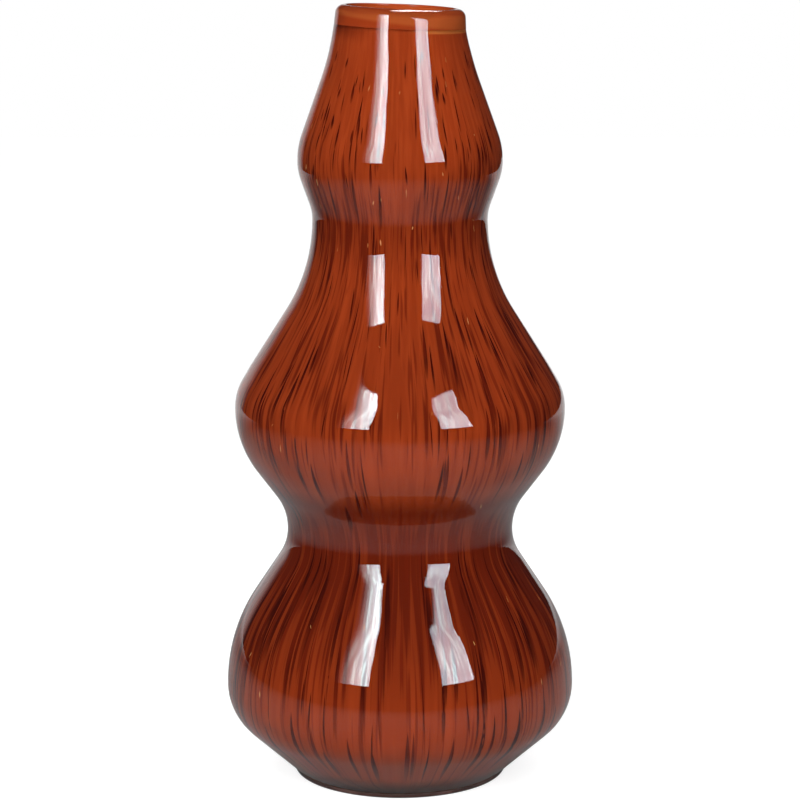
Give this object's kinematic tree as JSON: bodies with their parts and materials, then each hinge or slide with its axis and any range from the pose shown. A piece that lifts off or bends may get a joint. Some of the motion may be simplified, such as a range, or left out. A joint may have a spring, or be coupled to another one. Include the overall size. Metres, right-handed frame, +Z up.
{
  "type": "gourd vase",
  "caption": "Tall blown gourd vase of streaked amber glass in a clear casing, with stacked bulbs, narrow waists, a wrapped lip and a low foot, for cut stems or for display.",
  "frame": {"origin": "middle of the foot's underside, on the surface the vase stands on", "axes": "+Z up along the vase's turning axis, -Y towards the viewer of the picture, +X to that viewer's right"},
  "size_m": [0.1586, 0.1586, 0.3511],
  "materials": {
    "clear_glass": "clear, fire-polished",
    "foot_glass": "smoky under the thick base, eased and polished",
    "red_brown_glass": "opaque red-brown under the clear casing",
    "dark_streak_glass": "opaque dark brown, drawn out",
    "amber_glass": "opaque amber, fire-polished",
    "lip_glass": "opaque ochre amber, fire-polished bead"
  },
  "bodies": {
    "root": {"foot_pad": "foot_glass", "clear_casing": "clear_glass", "colour_coat": "red_brown_glass", "upper_bulb_streaks": "dark_streak_glass", "middle_bulb_streaks": "dark_streak_glass", "lower_bulb_streaks": "dark_streak_glass", "amber_liner": "amber_glass", "lip_wrap": "lip_glass"}
  },
  "joints": []
}
